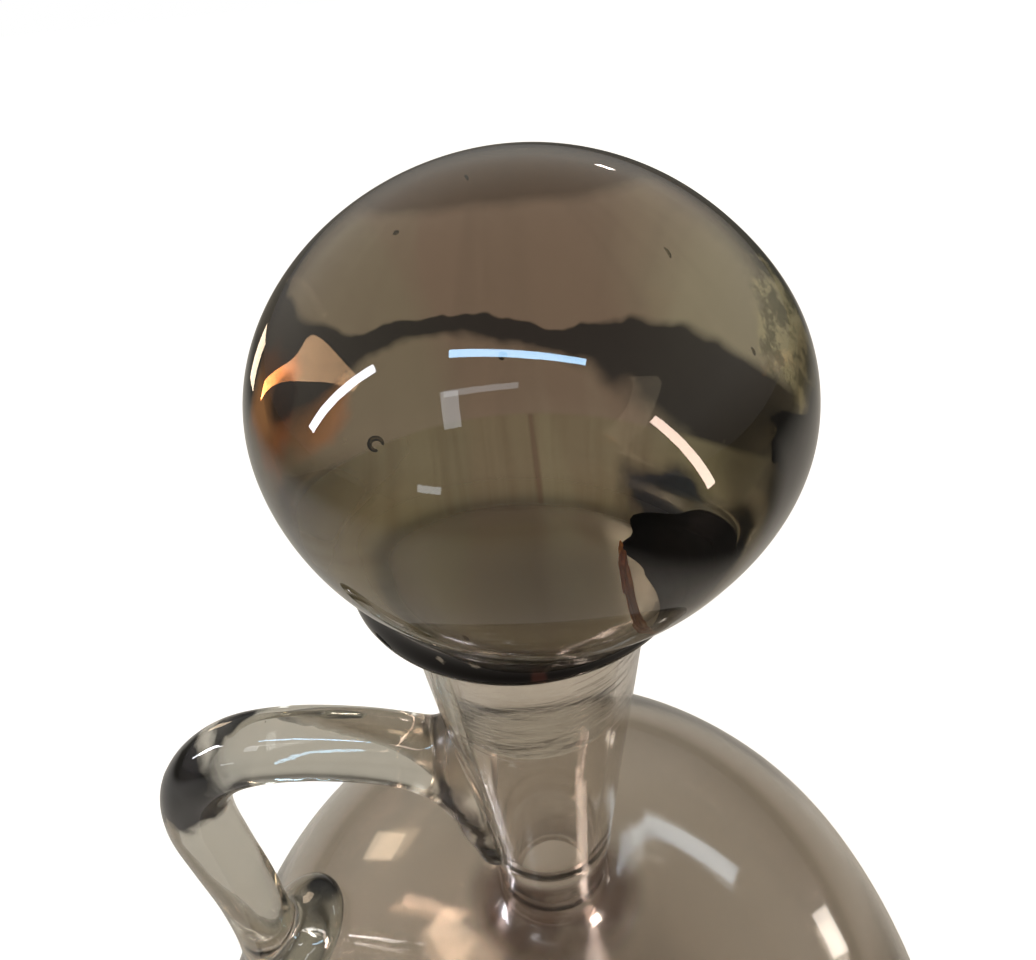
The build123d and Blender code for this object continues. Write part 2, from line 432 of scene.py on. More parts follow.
def neck_side(inside):
    """Neck wall from foot to lip; the joining band swells, most of all on the inside."""
    side = []
    for height in np.linspace(NECK_FOOT, LIP - 1.2 * MM, 90):
        ring = max(bump(height, SEAM_LOW, 4.6 * MM, 1), bump(height, SEAM_HIGH, 4.2 * MM, 0.9))
        if inside:
            side.append((neck_radius(height) - NECK_WALL - 0.5 * MM * ring, height))
        else:
            side.append((neck_radius(height) + 0.2 * MM * ring, height))
    return side


outer = dome(0, PUNT_R - 0.8 * MM)
outer += corner((PUNT_R + 1.0 * MM, 1.4 * MM), 1.4 * MM, 215, 270, 5)
foot_r = GLOBE_R * math.sqrt(1 - (GLOBE_CENTRE / GLOBE_RISE) ** 2)
outer += corner((foot_r - 1.4 * MM, 2.2 * MM), 2.2 * MM, 270, 312, 5)
outer += ellipse_run(GLOBE_R, GLOBE_RISE, 1.6 * MM - GLOBE_CENTRE, SHOULDER_R)
outer += flare(GLOBE_R, GLOBE_RISE, SHOULDER_R, NECK_FOOT_R)
outer += neck_side(inside=False)
lip = corner((NECK_MOUTH_R - NECK_WALL / 2, LIP - NECK_WALL / 2), NECK_WALL / 2, 5, 175, 14)
inner_r, inner_rise = GLOBE_R - GLOBE_WALL, GLOBE_RISE - GLOBE_WALL
inner = dome(FOOT_THICK, 25.6 * MM)
inner += [(28 * MM, FOOT_THICK + 0.15 * MM)]
inner += ellipse_run(inner_r, inner_rise, FOOT_THICK + 1.2 * MM - GLOBE_CENTRE, SHOULDER_R - GLOBE_WALL)
inner += flare(inner_r, inner_rise, SHOULDER_R - GLOBE_WALL, NECK_FOOT_R - NECK_WALL)
inner += neck_side(inside=True)


def flask_rings(profile, step, seed):
    """Rings of one side of the wall, with its own waver, which fades out at the ground socket."""
    grid = level_rings(even(profile, step))
    from_centre = grid - (0, 0, GLOBE_CENTRE)
    radial = from_centre / np.linalg.norm(from_centre, axis=-1)[..., None]
    calm = np.clip((NECK_FOOT + 30 * MM - grid[..., 2]) / (30 * MM), 0, 1)
    calm *= np.clip(grid[..., 2] / (12 * MM), 0, 1)
    return grid + radial * (waver(grid, 0.3 * MM, 60 * MM, seed) * calm)[..., None]


WALL_STEP = 1.1 * MM
flask_grid = np.concatenate([
    flask_rings(outer + lip[:7], WALL_STEP, 11),
    flask_rings((inner + lip[:6:-1])[::-1], WALL_STEP, 12),
])
flask_mesh = skin("flask_shell", flask_grid, ((0, 0, PUNT_DEPTH), (0, 0, PUNT_DEPTH + FOOT_THICK)))
outward(flask_mesh)
flask_shell = add("flask_shell", flask_mesh)
print("flask skin", len(flask_mesh.vertices), "points")

# %% [markdown]
# The handle is a hot rod stuck to the neck, bent over and stuck to the globe. At
# each end it spreads into a gather that sags onto the wall, with a tail that ran
# down the neck. Rod, gathers and tail are rough closed forms here, melted together
# by a voxel remesh and many rounds of smoothing, because that is what the heat did.
# The back of each gather is then laid just under the wall's outer face: two skins
# that overlap a little let light pass straight on, and two with a gap are a mirror.

# %% Handle
ROD_R = 5.8 * MM
HANDLE_POINTS = [
    # distance from the neck's axis and drop below the lip, in mm
    (9.5, 49.5), (15.5, 43.2), (21.5, 38.9), (30.0, 35.7), (40.0, 34.0), (49.0, 35.3),
    (56.0, 41.5), (59.0, 51.0), (59.2, 63.0), (58.9, 76.0), (59.4, 90.0), (60.6, 104.5),
]
HANDLE_FATNESS = [1.25, 1.12, 1.02, 1.0, 1.0, 1.0, 0.98, 0.97, 0.96, 0.96, 0.99, 1.10]


def smooth_line(points, count):
    """Evenly spaced points on a Catmull-Rom curve through points of any dimension."""
    points = np.array(points, float)
    padded = np.vstack([2 * points[0] - points[1], points, 2 * points[-1] - points[-2]])
    fine = []
    for i in range(1, len(padded) - 2):
        p0, p1, p2, p3 = padded[i - 1:i + 3]
        for t in np.linspace(0, 1, 24, endpoint=False):
            fine.append(0.5 * (2 * p1 + (p2 - p0) * t + (2 * p0 - 5 * p1 + 4 * p2 - p3) * t**2
                               + (3 * p1 - p0 - 3 * p2 + p3) * t**3))
    fine.append(points[-1])
    fine = np.array(fine)
    return even(fine, np.linalg.norm(np.diff(fine[:, :2], axis=0), axis=1).sum() / count)


route = smooth_line([(x, z, fat) for (x, z), fat in zip(HANDLE_POINTS, HANDLE_FATNESS)], 160)
centre_line = np.stack([-route[:, 0] * MM, np.zeros(len(route)), LIP - route[:, 1] * MM], -1)
rod_grid, rod_ends = tube_along(centre_line, route[:, 2] * ROD_R, 40)
rod_mesh = skin("rod", rod_grid, rod_ends)


def blob(name, centre, sizes, tilt):
    """Ellipsoid with three half sizes, tilted about Y by some degrees."""
    work = bmesh.new()
    bmesh.ops.create_icosphere(work, subdivisions=4, radius=1)
    shape = Matrix.Diagonal((*sizes, 1))
    turn = Matrix.Rotation(math.radians(tilt), 4, "Y")
    bmesh.ops.transform(work, matrix=Matrix.Translation(centre) @ turn @ shape, verts=work.verts)
    mesh = bpy.data.meshes.new(name)
    work.to_mesh(mesh)
    work.free()
    return mesh


NECK_TILT = -math.degrees(math.atan(NECK_SLOPE))


def on_neck(drop, across=0.0, sink=0.0):
    """Point on the neck's -X side, some way below the lip, moved across and sunk into the wall."""
    radius = neck_radius(LIP - drop) - sink
    return Vector((-math.sqrt(radius**2 - across**2), across, LIP - drop))


gathers = [
    blob("upper_gather", on_neck(45.5 * MM), (6.0 * MM, 8.0 * MM, 12.5 * MM), NECK_TILT),
    blob("tail_1", on_neck(56.0 * MM, -2.2 * MM, 0.5 * MM), (4.6 * MM, 4.6 * MM, 9.0 * MM), NECK_TILT),
    blob("tail_2", on_neck(63.0 * MM, -4.0 * MM, 0.8 * MM), (3.6 * MM, 3.4 * MM, 5.0 * MM), NECK_TILT),
    blob("lower_gather", (-56.0 * MM, 1.0 * MM, LIP - 102.0 * MM), (14.0 * MM, 12.5 * MM, 6.2 * MM), -38),
]
melt = bmesh.new()
for mesh in [rod_mesh] + gathers:
    outward(mesh)
    melt.from_mesh(mesh)
handle_mesh = bpy.data.meshes.new("handle_loop")
melt.to_mesh(handle_mesh)
melt.free()
handle = add("handle_loop", handle_mesh)


def bake_modifier(thing, kind, **settings):
    """Add a modifier, set it and keep its result as the mesh."""
    modifier = thing.modifiers.new(kind.lower(), kind)
    for key, value in settings.items():
        setattr(modifier, key, value)
    evaluated = thing.evaluated_get(bpy.context.evaluated_depsgraph_get())
    result = bpy.data.meshes.new_from_object(evaluated)
    thing.modifiers.clear()
    thing.data = result


bake_modifier(handle, "REMESH", mode="VOXEL", voxel_size=0.7 * MM)
bake_modifier(handle, "SMOOTH", factor=0.5, iterations=30)


def lay_on_wall(mesh, depth):
    """Pull what went through the neck's or the globe's outer face back to just under it."""
    points = np.zeros(len(mesh.vertices) * 3)
    mesh.vertices.foreach_get("co", points)
    points = points.reshape(-1, 3)
    out = np.hypot(points[:, 0], points[:, 1])
    target = neck_radius(points[:, 2]) - depth
    on_the_neck = (points[:, 2] > NECK_FOOT + 4 * MM) & (out < target)
    scale = np.where(on_the_neck, target / np.maximum(out, 1e-6), 1.0)
    points[:, :2] *= scale[:, None]
    middle = np.array((0, 0, GLOBE_CENTRE))
    shape = np.array((GLOBE_R - depth, GLOBE_R - depth, GLOBE_RISE - depth))
    share = np.linalg.norm((points - middle) / shape, axis=1)
    in_the_globe = (points[:, 2] < NECK_FOOT) & (share < 1)
    points = np.where(in_the_globe[:, None], middle + (points - middle) / share[:, None], points)
    mesh.vertices.foreach_set("co", points.ravel())
    mesh.update()


lay_on_wall(handle.data, 0.8 * MM)
handle.data.polygons.foreach_set("use_smooth", [True] * len(handle.data.polygons))
print("handle skin", len(handle.data.vertices), "points")

# %% [markdown]
# Materials are written as arithmetic. `Number` wraps one output of a node, and
# adding or multiplying it adds a Math node; `Recipe` holds one material's tree and
# has a single method, `node`, for every other kind of node.

# %% Arithmetic on sockets
class Number:
    """A value that varies over a surface; + - * / ** add Math nodes."""

    def __init__(self, recipe, socket):
        self.recipe, self.socket = recipe, socket

    def _math(self, operation, first, second):
        return self.recipe.node("ShaderNodeMath", {"operation": operation}, {0: first, 1: second})

    def __add__(self, other): return self._math("ADD", self, other)
    def __radd__(self, other): return self._math("ADD", other, self)
    def __sub__(self, other): return self._math("SUBTRACT", self, other)
    def __rsub__(self, other): return self._math("SUBTRACT", other, self)
    def __mul__(self, other): return self._math("MULTIPLY", self, other)
    def __rmul__(self, other): return self._math("MULTIPLY", other, self)
    def __truediv__(self, other): return self._math("DIVIDE", self, other)
    def __pow__(self, other): return self._math("POWER", self, other)


class Recipe:
    """The node tree of one material or of the world."""

    def __init__(self, owner):
        owner.use_nodes = True
        self.owner, self.tree = owner, owner.node_tree
        self.tree.nodes.clear()

    def node(self, kind, settings=None, sockets=None, out=0):
        """Add a node: its type, its settings, its sockets' values or links; give one output."""
        made = self.tree.nodes.new(kind)
        for key, value in (settings or {}).items():
            if key == "stops":
                ramp = made.color_ramp
                while len(ramp.elements) < len(value):
                    ramp.elements.new(0.5)
                for element, (position, color) in zip(ramp.elements, value):
                    element.position, element.color = position, color
            else:
                setattr(made, key, value)
        for key, value in (sockets or {}).items():
            if isinstance(value, Number):
                self.tree.links.new(value.socket, made.inputs[key])
            else:
                made.inputs[key].default_value = value
        return Number(self, made.outputs[out]) if made.outputs else made

    def place(self):
        """Where a point is, in metres, as x, y and z numbers."""
        spot = self.node("ShaderNodeTexCoord", out="Object")
        parts = self.node("ShaderNodeSeparateXYZ", sockets={0: spot}).socket.node
        return spot, [Number(self, parts.outputs[k]) for k in range(3)]

    def step(self, value, low, high):
        """0 below low, 1 above high, and a smooth slope between."""
        ease = {"interpolation_type": "SMOOTHSTEP"}
        return self.node("ShaderNodeMapRange", ease, {"Value": value, "From Min": low, "From Max": high})

    def noise(self, spot, scale, detail=2.0, rough=0.5):
        return self.node("ShaderNodeTexNoise", None,
                         {"Vector": spot, "Scale": scale, "Detail": detail, "Roughness": rough})

    def mix(self, share, first, second):
        """One colour fading into another."""
        return self.node("ShaderNodeMix", {"data_type": "RGBA"}, {0: share, 6: first, 7: second}, out=2)

    def larger(self, first, second):
        return self.node("ShaderNodeMath", {"operation": "MAXIMUM"}, {0: first, 1: second})

    def bump(self, height, distance, strength=1.0):
        return self.node("ShaderNodeBump", None,
                         {"Height": height, "Distance": distance, "Strength": strength})


GLASS_IOR = 1.5


def glass(name):
    """A new recipe and a function that finishes it with a clear dielectric surface."""
    recipe = Recipe(bpy.data.materials.new(name))

    def finish(color, roughness, normal=None, absorb=None, metallic=0.0):
        sockets = {"Base Color": color, "Roughness": roughness, "IOR": GLASS_IOR, "Transmission Weight": 1.0,
                   "Metallic": metallic}
        if normal is not None:
            sockets["Normal"] = normal
        surface = recipe.node("ShaderNodeBsdfPrincipled", None, sockets)
        ends = {"Surface": surface}
        if absorb is not None:
            tint, density = absorb
            body = {"Color": tint, "Density": density}
            ends["Volume"] = recipe.node("ShaderNodeVolumeAbsorption", None, body)
        recipe.node("ShaderNodeOutputMaterial", None, ends)
        return recipe.owner

    return recipe, finish


# %% [markdown]
# Smoky stopper glass. The colour of real smoky glass is in its body, but a ball of
# it looks nearly as dark at the rim as in the middle, so most of the tint is put
# on the surface, where light pays once on its way in and once on its way out, and
# a little absorption does the rest. Three helpers place it: `patch` is a ragged
# ellipsoid where the glassblower's hand left something, `rim` is glass seen nearly
# edge on, and `around_axis` draws what runs round the piece or along it.

# %% Patches and cords
def patch(recipe, spot, centre, sizes, ragged, scale=260.0, core=0.55):
    """1 inside an ellipsoid given in mm, 0 outside, with an edge broken up by noise.

    The edge fades out from `core`, a share of the half sizes, to the full size.
    """
    middle, halves = [v * MM for v in centre], [v * MM for v in sizes]
    near = recipe.node("ShaderNodeVectorMath", {"operation": "SUBTRACT"}, {0: spot, 1: middle})
    near = recipe.node("ShaderNodeVectorMath", {"operation": "DIVIDE"}, {0: near, 1: halves})
    reach = recipe.node("ShaderNodeVectorMath", {"operation": "LENGTH"}, {0: near}, out=1)
    broken = (recipe.noise(spot, scale, 3.0) - 0.5) * ragged
    return 1 - recipe.step(reach + broken, core, 1.0)


def rim(recipe, low, high):
    """1 where glass is seen nearly edge on."""
    edge = recipe.node("ShaderNodeLayerWeight", None, {"Blend": 0.5}, out=1)
    return recipe.step(edge, low, high)


def around_axis(recipe, x, y, z, turns, rise):
    """Coordinates that change around the neck's axis and hardly along it."""
    radius = (x * x + y * y + 1e-8) ** 0.5
    return recipe.node("ShaderNodeCombineXYZ", None,
                       {0: x / radius * turns, 1: y / radius * turns, 2: z * rise})


# %% [markdown]
# Such glass is never one colour. A mauve brown lies against an olive brown along a
# wavering edge, and cords of a slightly different melt run from pole to pole. On
# top is the brown scar where the rod that held the ball was cracked off.

# %% Melt, cords and scar
OLIVE, PALE_OLIVE = (0.36, 0.305, 0.225, 1), (0.50, 0.46, 0.34, 1)
MAUVE, DEEP_BROWN = (0.36, 0.265, 0.205, 1), (0.20, 0.150, 0.095, 1)
DARK_CORD, PALE_CORD = (0.25, 0.19, 0.15, 1), (0.62, 0.57, 0.44, 1)
SCAR_BROWN = (0.070, 0.042, 0.026, 1)


def melt_color(recipe, at, slow):
    """Olive at the sides and mauve between, with cords, and darker low down in front."""
    _, x, y, z = at
    across = x + slow * 14 * MM
    in_mauve = recipe.step(across, -6 * MM, -4.5 * MM) * (1 - recipe.step(across, 9 * MM, 15 * MM))
    sides = recipe.mix(recipe.step(x, 0, 14 * MM), OLIVE, PALE_OLIVE)
    color = recipe.mix(in_mauve, sides, MAUVE)
    cords = recipe.noise(around_axis(recipe, x, y, z, 5.0, 30.0), 1.0, 3.0)
    color = recipe.mix(recipe.step(cords, 0.50, 0.72) * 0.5, color, DARK_CORD)
    color = recipe.mix(0.4 - 0.4 * recipe.step(cords, 0.25, 0.45), color, PALE_CORD)
    low = 1 - recipe.step(z, 238 * MM, 256 * MM)
    in_front = 1 - recipe.step(y, -6 * MM, 6 * MM)
    return recipe.mix(low * in_front * 0.6, color, DEEP_BROWN)


def add_scar(recipe, at, color):
    scar = patch(recipe, at[0], (1.5, -2.0, 274.5), (15.5, 10.5, 8), 0.30, 90.0, core=0.80)
    return recipe.mix(scar, color, SCAR_BROWN)


# %% [markdown]
# An amber streak with a black core comes to the surface on the left, and again at
# the back, where the ball enlarges it. A nearly black band is painted round the back
# of the foot, thin in the middle and thick at both ends. It is seen through the
# whole ball, which enlarges it, so it is made much thinner than it looks.

# %% Amber streak and dark band
AMBER, CORE_BLACK = (0.98, 0.25, 0.05, 1), (0.0006, 0.0003, 0.0002, 1)
BAND_BLACK = (0.0010, 0.0006, 0.0007, 1)


def add_amber(recipe, at, color):
    """Amber with its black core; gives the colour and how much of it is amber."""
    spot = at[0]
    front = patch(recipe, spot, (-20.0, -15.0, 259.2), (5.2, 5.6, 6.8), 0.9)
    back = patch(recipe, spot, (-11.6, 21.0, 235.6), (3.0, 3.0, 3.6), 0.9)
    amber = recipe.larger(front, back)
    core = patch(recipe, spot, (-18.3, -16.4, 260.3), (2.8, 2.8, 3.2), 1.0)
    color = recipe.mix(amber, color, AMBER)
    return recipe.mix(core * 0.9, color, CORE_BLACK), amber


def add_band(recipe, at, slow, at_back, color):
    spot, x, _, z = at
    arch = (1 - x * x / (12 * MM) ** 2) * 1.3 * MM
    rise = recipe.step(x, 6 * MM, 14 * MM) * 0.9 * MM - 0.16 * x
    unsteady = slow * 4 * MM + (recipe.noise(spot, 330.0, 2.0) - 0.5) * 1.6 * MM
    middle = 235.7 * MM + arch + rise + unsteady
    at_left = 1 - recipe.step(x, -12 * MM, -8 * MM)
    thick = recipe.step(x, 5 * MM, 17 * MM) * 1.7 * MM + at_left * 1.6 * MM + 0.62 * MM
    height = (z - middle) / thick
    band = (1 - recipe.step(height, 0.75, 1.05)) * recipe.step(height, -1.9, -0.7) * at_back
    return recipe.mix(band, color, BAND_BLACK)


# %% [markdown]
# The flange looks like a dark gather that was only half mixed in: nearly black in
# front, with a few pale bits, and a clear streaky olive behind, with one brown thread
# and a drop of ink. The front is set metallic, which it is not: at this slant black
# glass still mirrors the floor, and a black metal mirrors about half as much.

# %% Flange
FLANGE_OLIVE, FLANGE_STREAK = (0.31, 0.28, 0.155, 1), (0.23, 0.19, 0.10, 1)
BROWN_THREAD, INK = (0.15, 0.085, 0.048, 1), (0.004, 0.006, 0.012, 1)
FLANGE_BLACK, PALE_BIT = (0.002, 0.0008, 0.0004, 1), (0.25, 0.22, 0.18, 1)
RED_STREAK, FLANGE_BROWN = (0.040, 0.012, 0.008, 1), (0.10, 0.06, 0.04, 1)


def add_flange(recipe, at, in_flange, at_back, color):
    spot, x, y, z = at
    streaks = recipe.noise(around_axis(recipe, x, y, z, 22.0, 40.0), 1.0, 2.0)
    behind = recipe.mix(recipe.step(streaks, 0.35, 0.70), FLANGE_OLIVE, FLANGE_STREAK)
    thread = patch(recipe, spot, (3.4, 21.6, 229.5), (0.4, 6, 11), 0.5, core=0.2)
    behind = recipe.mix(thread, behind, BROWN_THREAD)
    bits = recipe.step(recipe.noise(spot, 420.0, 3.0), 0.66, 0.74)
    bits = bits * (1 - recipe.step(x, -2 * MM, 4 * MM))
    before = recipe.mix(bits, FLANGE_BLACK, PALE_BIT)
    before = recipe.mix(patch(recipe, spot, (0.5, -21, 228), (1.1, 4, 4), 0.6), before, RED_STREAK)
    before = recipe.mix(recipe.step(x, 13 * MM, 20 * MM), before, FLANGE_BROWN)
    color = recipe.mix(in_flange, color, recipe.mix(at_back, before, behind))
    ink = patch(recipe, spot, (13.5, 17.5, 227.6), (6.0, 5.0, 2.6), 0.9)
    return recipe.mix(ink, color, INK)


# %% [markdown]
# Last come the outline and the gloss. The outline is painted shade: where the ball is
# seen nearly edge on its colour is painted nearly black, more so on the right, where a
# mottle of lime and brown breaks it. The underside is left as it came from the iron,
# a little dull, and so are a few specks.

# %% Painted dark outline, mottle and the whole stopper glass
# Painted shade colours for the ball's outline.
OUTLINE_SHADE_OLIVE, OUTLINE_SHADE_BLACK = (0.030, 0.026, 0.016, 1), (0.004, 0.005, 0.004, 1)
MOTTLE_DARK, MOTTLE_LIME = (0.10, 0.10, 0.045, 1), (0.80, 0.76, 0.42, 1)
SMOKE, SMOKE_DENSITY = (0.62, 0.55, 0.42, 1), 12.0


def add_outline_shade(recipe, at, amber, color):
    spot, x, _, _ = at
    # Painted shade: the outline is darkened where the ball is seen nearly edge on.
    color = recipe.mix(rim(recipe, 0.62, 0.88) * (1 - amber * 0.8), color, OUTLINE_SHADE_OLIVE)
    to_right = recipe.step(x, 14 * MM, 26 * MM)
    color = recipe.mix(rim(recipe, 0.50, 0.75) * to_right, color, OUTLINE_SHADE_BLACK)
    mottle = patch(recipe, spot, (24.5, -14.0, 260.0), (4.5, 8.5, 8.5), 1.2, 400.0)
    flecks = recipe.step(recipe.noise(spot, 300.0, 4.0, 0.7), 0.44, 0.58)
    return recipe.mix(mottle * 0.85, color, recipe.mix(flecks, MOTTLE_DARK, MOTTLE_LIME))


def stopper_glass():
    recipe, finish = glass("smoky_stopper_glass")
    spot, (x, y, z) = recipe.place()
    at = (spot, x, y, z)
    slow = recipe.noise(spot, 45.0, 1.0) - 0.5
    at_back = recipe.step(y, 4 * MM, 9 * MM)
    in_flange = 1 - recipe.step(z, COLLAR[1].z - 0.05 * MM, COLLAR[1].z + 0.25 * MM)
    color = add_scar(recipe, at, melt_color(recipe, at, slow))
    color, amber = add_amber(recipe, at, color)
    color = add_band(recipe, at, slow, at_back, color)
    color = add_flange(recipe, at, in_flange, at_back, color)
    color = add_outline_shade(recipe, at, amber, color)
    underside = 1 - recipe.step(z, COLLAR[0].z + 0.2 * MM, COLLAR[0].z + 2.2 * MM)
    dull = patch(recipe, spot, (-11.5, 19.0, 231.5), (8.0, 7.0, 5.0), 0.4)
    specks = recipe.step(recipe.noise(spot, 900.0, 2.0), 0.70, 0.76)
    rough = underside * 0.30 + in_flange * at_back * 0.12 + dull * 0.25 + specks * 0.10
    damped = in_flange * (1 - at_back)
    return finish(color, rough, absorb=(SMOKE, SMOKE_DENSITY), metallic=damped)


# %% [markdown]
# The smear and the fleck. Dark melt is blue black with a dull skin, nearly without
# shine, because it lies inside glass and not in air; the fleck is a rust orange
# that is brighter in places.

# %% Smear and fleck colours
DARK_MELT = (0.0012, 0.0016, 0.003, 1), (0.004, 0.003, 0.002, 1)
AMBER_MELT = (0.90, 0.38, 0.12, 1), (0.55, 0.16, 0.04, 1)


def speckled(name, first, second, scale, roughness, shine=0.5):
    """A solid colour that drifts between two shades; shine is 0.5 for common glass."""
    recipe = Recipe(bpy.data.materials.new(name))
    spot, _ = recipe.place()
    drift = recipe.noise(spot, scale, 3.0)
    surface = recipe.node("ShaderNodeBsdfPrincipled", None, {
        "Base Color": recipe.mix(recipe.step(drift, 0.4, 0.65), first, second),
        "Roughness": roughness + drift * 0.2, "Specular IOR Level": shine})
    recipe.node("ShaderNodeOutputMaterial", None, {"Surface": surface})
    return recipe.owner


# %% [markdown]
# Plug glass. A stopper is ground into its own neck with wet grit, which leaves fine
# level scratches that catch the light in arcs. They are rows of noise that change
# quickly along the axis and hardly at all around it, in height and in roughness.

# %% Plug glass
CLEAR_SMOKE, WORN_SMOKE = (0.86, 0.83, 0.78, 1), (0.78, 0.73, 0.66, 1)


def plug_glass():
    recipe, finish = glass("ground_plug_glass")
    spot, (x, y, z) = recipe.place()
    scratches = recipe.noise(around_axis(recipe, x, y, z, 1.5, 1300.0), 1.0, 3.0)
    deep = recipe.step(scratches, 0.55, 0.70)
    worn = recipe.noise(spot, 120.0, 3.0)
    ground = deep * recipe.step(worn, 0.35, 0.60)
    color = recipe.mix(worn, CLEAR_SMOKE, WORN_SMOKE)
    at_end = 1 - recipe.step(z, PLUG[0].z + 1 * MM, PLUG[0].z + 5 * MM)
    rough_end = recipe.noise(spot, 260.0, 3.0) * at_end
    return finish(color, ground * 0.14, recipe.bump(ground * 0.1 + rough_end, 0.25 * MM, 0.7))


# %% [markdown]
# Flask glass. It is a pale smoke colour that looks stronger on the globe, where
# one looks through two walls, and nearly clear on the neck. Towards its outline the
# bulb is painted paler and greyer, a painted reflection of the room, which the wall
# mirrors there more than it lets through. An umber swirl was trapped where the neck
# was joined on. Handled glass is never clean, so a faint haze comes and goes, and
# the socket is ground.

# %% Flask glass
GLOBE_SMOKE, GLOBE_DEEPER = (0.74, 0.69, 0.625, 1), (0.68, 0.65, 0.60, 1)
GLOBE_EDGE_REFLECTION, NECK_CLEAR, UMBER = (0.90, 0.91, 0.90, 1), (0.92, 0.89, 0.85, 1), (0.24, 0.175, 0.15, 1)
SEAM_TOP = SEAM[1].z


def umber_swirl(recipe, x, y, z):
    """How much umber there is: in the joint between globe and neck, less of it at the back."""
    joint = 1 - recipe.step(z, SEAM_TOP - 5 * MM, SEAM_TOP)
    joint = joint * (1 - recipe.step((x * x + y * y) ** 0.5, 13 * MM, 19 * MM))
    joint = joint * recipe.step(z, 120 * MM, 132 * MM)
    swirl = recipe.noise(around_axis(recipe, x, y, z, 0.8, 130.0), 1.0, 3.0)
    less_behind = 1 - 0.75 * recipe.step(y, 0, 8 * MM)
    return joint * (0.35 + 0.65 * recipe.step(swirl, 0.36, 0.60)) * less_behind


def flask_glass():
    recipe, finish = glass("pale_smoke_glass")
    spot, (x, y, z) = recipe.place()
    neck = recipe.step(z, NECK_FOOT - 4 * MM, NECK_FOOT + 4 * MM)
    color = recipe.mix(recipe.noise(spot, 14.0, 1.5), GLOBE_SMOKE, GLOBE_DEEPER)
    # Painted reflection: the bulb is painted paler and greyer towards its outline.
    color = recipe.mix(rim(recipe, 0.55, 0.98) * 0.6, color, GLOBE_EDGE_REFLECTION)
    color = recipe.mix(neck, color, NECK_CLEAR)
    color = recipe.mix(umber_swirl(recipe, x, y, z), color, UMBER)
    haze = recipe.step(recipe.noise(spot, 60.0, 4.0), 0.5, 0.8) * 0.02 + (1 - neck) * 0.06
    seam = recipe.step(z, 136 * MM, 142 * MM) * (1 - recipe.step(z, SEAM_TOP - 3 * MM, SEAM_TOP + 2 * MM))
    socket = recipe.step(z, PLUG[0].z - 1 * MM, PLUG[0].z + 3 * MM)
    scratches = recipe.noise(around_axis(recipe, x, y, z, 1.2, 1500.0), 1.0, 3.0)
    ground = socket * recipe.step(scratches, 0.58, 0.72)
    return finish(color, haze + seam * 0.09 + ground * 0.12, recipe.bump(ground, 0.02 * MM, 0.6))


# %% [markdown]
# Handle glass is clearer than the flask. Its outline is painted dark, painted shade
# where the rod is seen edge on. A black place on the outer bend and one above the
# foot are painted shade too: they stand for a dark part of a room seen through the
# rod, and this room is pale all round, so they are painted as patches on the glass.
# The gather on the neck is cream and a little dull, and a dark line wanders down
# through it.

# %% Handle glass
ROD_CLEAR, ROD_DEEPER, ROD_EDGE_SHADE = (0.80, 0.785, 0.72, 1), (0.70, 0.69, 0.63, 1), (0.12, 0.11, 0.09, 1)
BLACK_PLACE_SHADE, CREAM, DARK_LINE = (0.0010, 0.0010, 0.0014, 1), (0.98, 0.90, 0.78, 1), (0.012, 0.008, 0.007, 1)


def wandering_line(recipe, spot, x, z):
    """1 along a wandering line that goes down the front of the upper gather."""
    wander = (recipe.noise(spot, 190.0, 2.0) - 0.5) * 6 * MM
    off = x + 0.21 * z - 23.4 * MM + wander
    line = 1 - recipe.step(off * off, 0.3 * MM * MM, 2.4 * MM * MM)
    return line * recipe.step(z, 157 * MM, 161 * MM) * (1 - recipe.step(z, 186 * MM, 190 * MM))


def handle_glass():
    recipe, finish = glass("clear_rod_glass")
    spot, (x, _, z) = recipe.place()
    color = recipe.mix(recipe.noise(spot, 30.0, 1.5), ROD_CLEAR, ROD_DEEPER)
    gather = recipe.step(x, -20 * MM, -14 * MM) * recipe.step(z, 160 * MM, 166 * MM)
    # Painted shade: the rod's outline is darkened where it is seen nearly edge on.
    color = recipe.mix(rim(recipe, 0.78, 0.97) * 0.8 * (1 - gather), color, ROD_EDGE_SHADE)
    # Painted shade: two black patches stand for a dark part of a room seen through the rod.
    bend_shade = patch(recipe, spot, (-57.5, -1.0, 187.5), (10.0, 10.5, 11.5), 0.9, 150.0, core=0.75)
    foot_shade = patch(recipe, spot, (-50.5, 7.0, 129.0), (5.0, 6.0, 6.0), 1.0, 180.0)
    color = recipe.mix(recipe.larger(bend_shade, foot_shade), color, BLACK_PLACE_SHADE)
    color = recipe.mix(gather, color, CREAM)
    color = recipe.mix(wandering_line(recipe, spot, x, z), color, DARK_LINE)
    return finish(color, gather * 0.28)


# %% Glass on the pieces
ball_stopper.data.materials.append(stopper_glass())
ground_plug.data.materials.append(plug_glass())
dark_smear.data.materials.append(speckled("dark_melt", *DARK_MELT, 400.0, 0.7, 0.05))
amber_fleck.data.materials.append(speckled("amber_melt", *AMBER_MELT, 900.0, 0.3))
flask_shell.data.materials.append(flask_glass())
handle.data.materials.append(handle_glass())
for material in bpy.data.materials:
    print(material.name, len(material.node_tree.nodes), "nodes")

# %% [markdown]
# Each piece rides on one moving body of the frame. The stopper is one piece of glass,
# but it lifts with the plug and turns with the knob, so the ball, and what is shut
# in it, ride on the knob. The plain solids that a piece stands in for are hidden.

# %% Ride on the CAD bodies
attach(ball_stopper, "knob")
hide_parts("stopper_ball", "stopper_collar")
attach(dark_smear, "knob")
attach(amber_fleck, "knob")
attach(ground_plug, "plug")
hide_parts("stopper_plug")
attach(flask_shell, "flask")
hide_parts("globe", "neck_seam", "neck")
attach(handle, "flask")
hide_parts("handle_rod", "upper_handle_pad", "lower_handle_pad")
